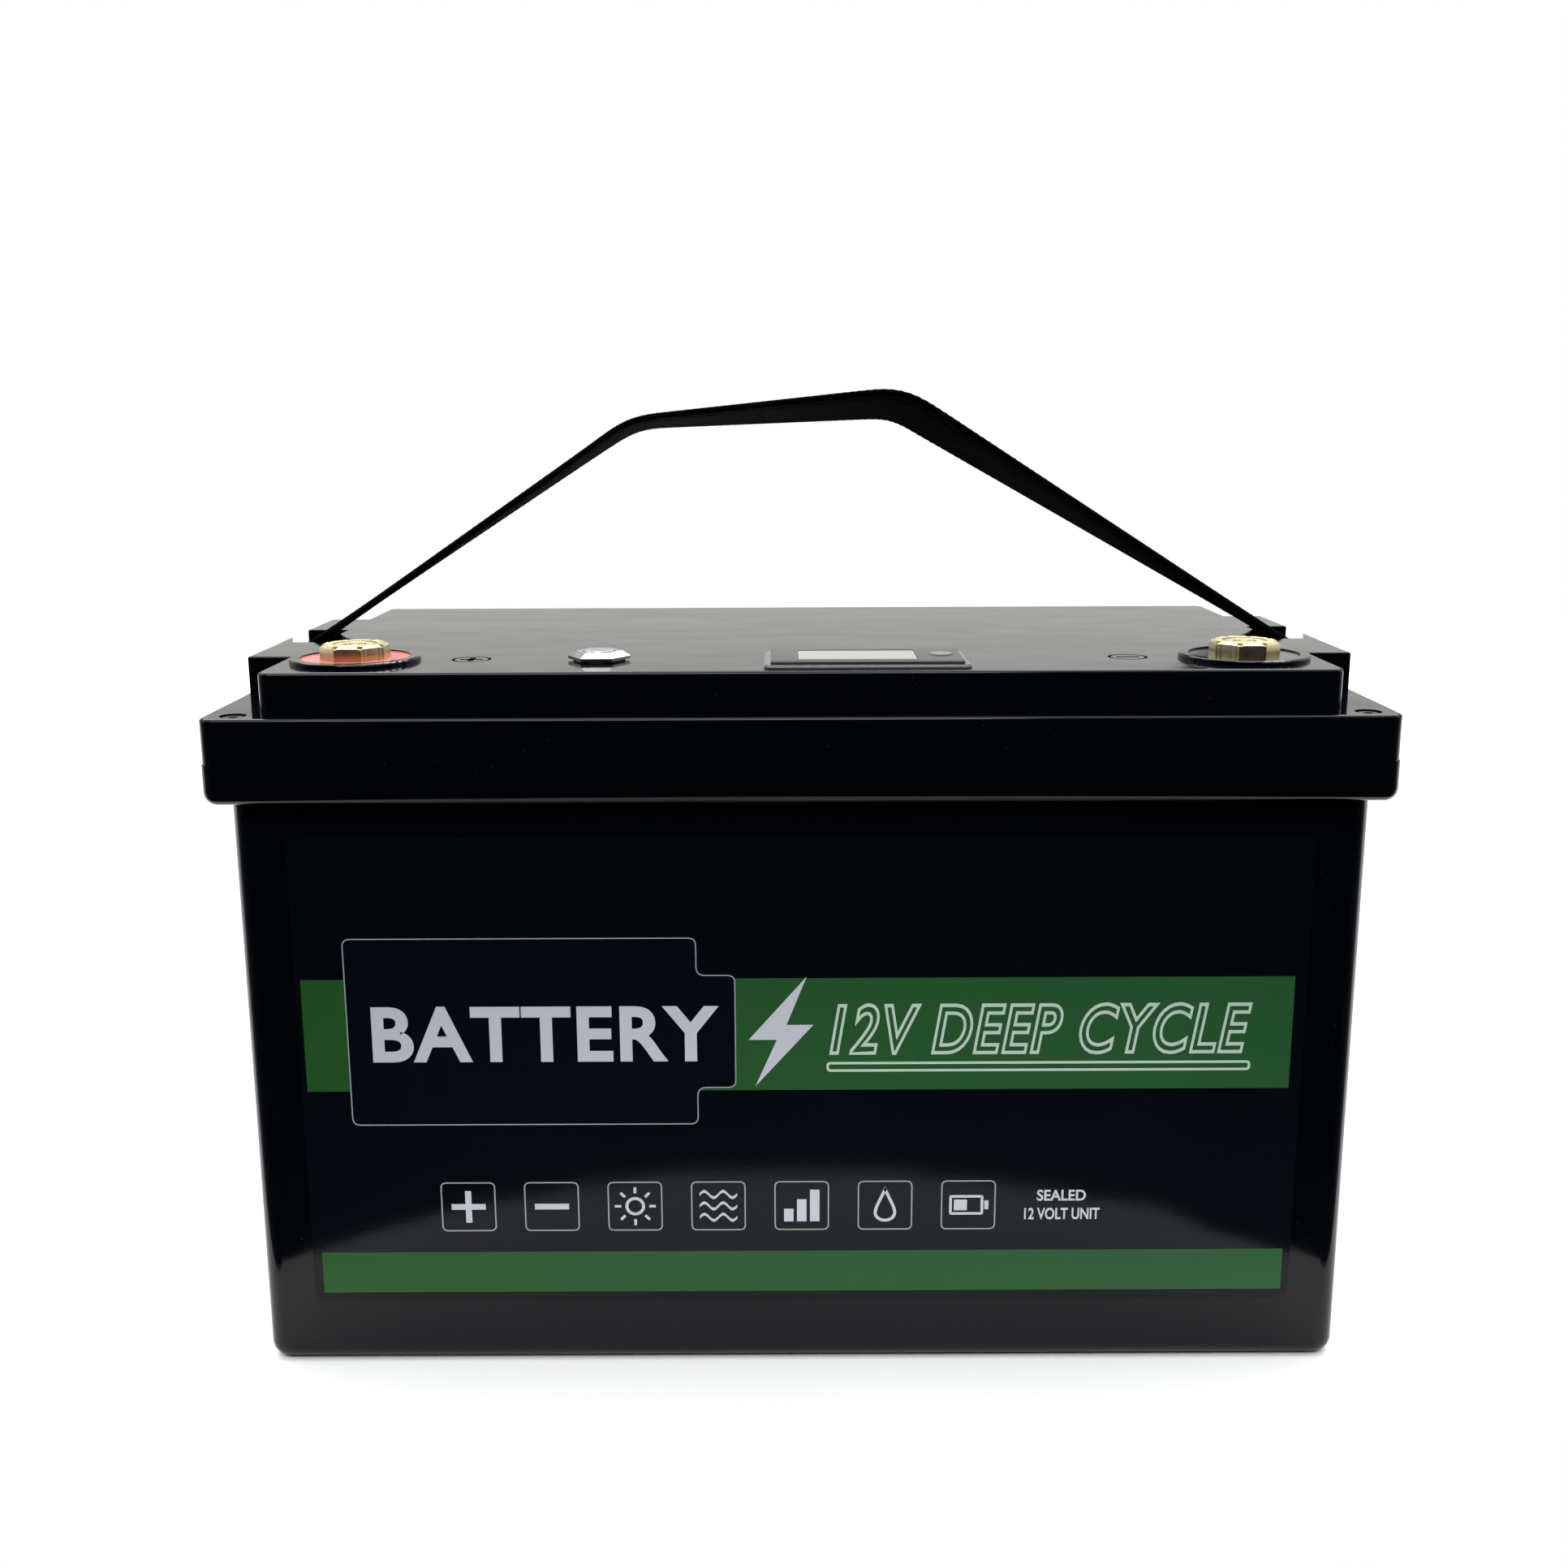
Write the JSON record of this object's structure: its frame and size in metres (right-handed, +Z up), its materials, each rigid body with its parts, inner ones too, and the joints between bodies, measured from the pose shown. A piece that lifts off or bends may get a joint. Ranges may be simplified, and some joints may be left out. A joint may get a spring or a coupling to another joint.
{
  "type": "deep cycle battery",
  "caption": "Sealed deep cycle battery with a black moulded case, threaded brass terminals, test button, small display and webbing carry strap.",
  "frame": {"origin": "middle of the underside of the case, on the surface that the battery stands on", "axes": "+X along the case towards the negative terminal, +Y to the back, away from the label, +Z up"},
  "size_m": [0.33, 0.172, 0.281],
  "materials": {
    "case": "deep black moulded plastic, high gloss",
    "seal": "soft black rubber",
    "screws": "black oxide",
    "label": "black film with green bands",
    "brass": "turned, pale gold",
    "resin_red": "red potting resin",
    "resin_black": "black potting resin",
    "steel": "zinc plated",
    "button_metal": "polished",
    "switch_plastic": "black moulded",
    "display_clear": "clear acrylic with a faint green edge",
    "display_panel": "grey overlay",
    "display_screen": "pale grey screen",
    "display_key": "grey key",
    "board": "green board",
    "webbing": "black woven webbing",
    "aluminium": "milled",
    "insulation": "insulating sheet",
    "foam": "black foam",
    "copper": "plated copper",
    "cell_wrap": "blue wrap",
    "lead_black": "silicone insulation",
    "lead_red": "silicone insulation"
  },
  "bodies": {
    "root": {"balance_leads": "lead_red", "base_pad": "foam", "bms_board": "board", "bms_plate": "aluminium", "bms_transistors": "switch_plastic", "bus_negative": "copper", "bus_positive": "copper", "button_bezel": "button_metal", "button_nut": "steel", "button_seal": "seal", "button_spring": "steel", "button_switch": "switch_plastic", "cell_1": "cell_wrap", "cell_2": "cell_wrap", "cell_3": "cell_wrap", "cell_4": "cell_wrap", "cell_5": "cell_wrap", "cell_6": "cell_wrap", "cell_7": "cell_wrap", "cell_8": "cell_wrap", "cell_posts": "aluminium", "cell_spacers": "insulation", "container": "case", "display_board": "board", "display_frame": "display_clear", "display_module": "switch_plastic", "display_panel": "display_panel", "display_switch": "switch_plastic", "display_window": "display_screen", "end_plate_left": "aluminium", "end_plate_right": "aluminium", "front_label": "label", "lead_lugs": "copper", "lead_negative": "lead_black", "lead_pack_negative": "lead_black", "lid": "case", "lid_screws": "screws", "lid_seal": "seal", "link_1": "copper", "link_2": "copper", "link_3": "copper", "link_nuts": "steel", "lug_bolts": "steel", "pack_band_lower": "steel", "pack_band_upper": "steel", "pack_lug_bolt": "steel", "potting_negative": "resin_black", "potting_positive": "resin_red", "side_pads": "foam", "strap_bar_left": "steel", "strap_bar_right": "steel", "strap_loop_left": "webbing", "strap_loop_right": "webbing", "terminal_negative": "brass", "terminal_positive": "brass"},
    "strap": {"carry_strap": "webbing"},
    "button": {"button_cap": "button_metal"},
    "key": {"display_key": "display_key"}
  },
  "joints": [
    {"name": "strap_swing", "type": "hinge", "parent": "root", "child": "strap", "pos_m": [0, 0, 0.2093], "axis": [1, 0, 0], "range_deg": [-60, 60]},
    {"name": "button_press", "type": "slide", "parent": "root", "child": "button", "axis": [0, 0, -1], "range_m": [0, 0.0012], "stiffness_N_per_m": 400, "springref_m": -0.003, "deforming": ["button_spring"]},
    {"name": "key_press", "type": "slide", "parent": "root", "child": "key", "axis": [0, 0, -1], "range_m": [0, 0.0004], "stiffness_N_per_m": 500, "springref_m": -0.001}
  ]
}
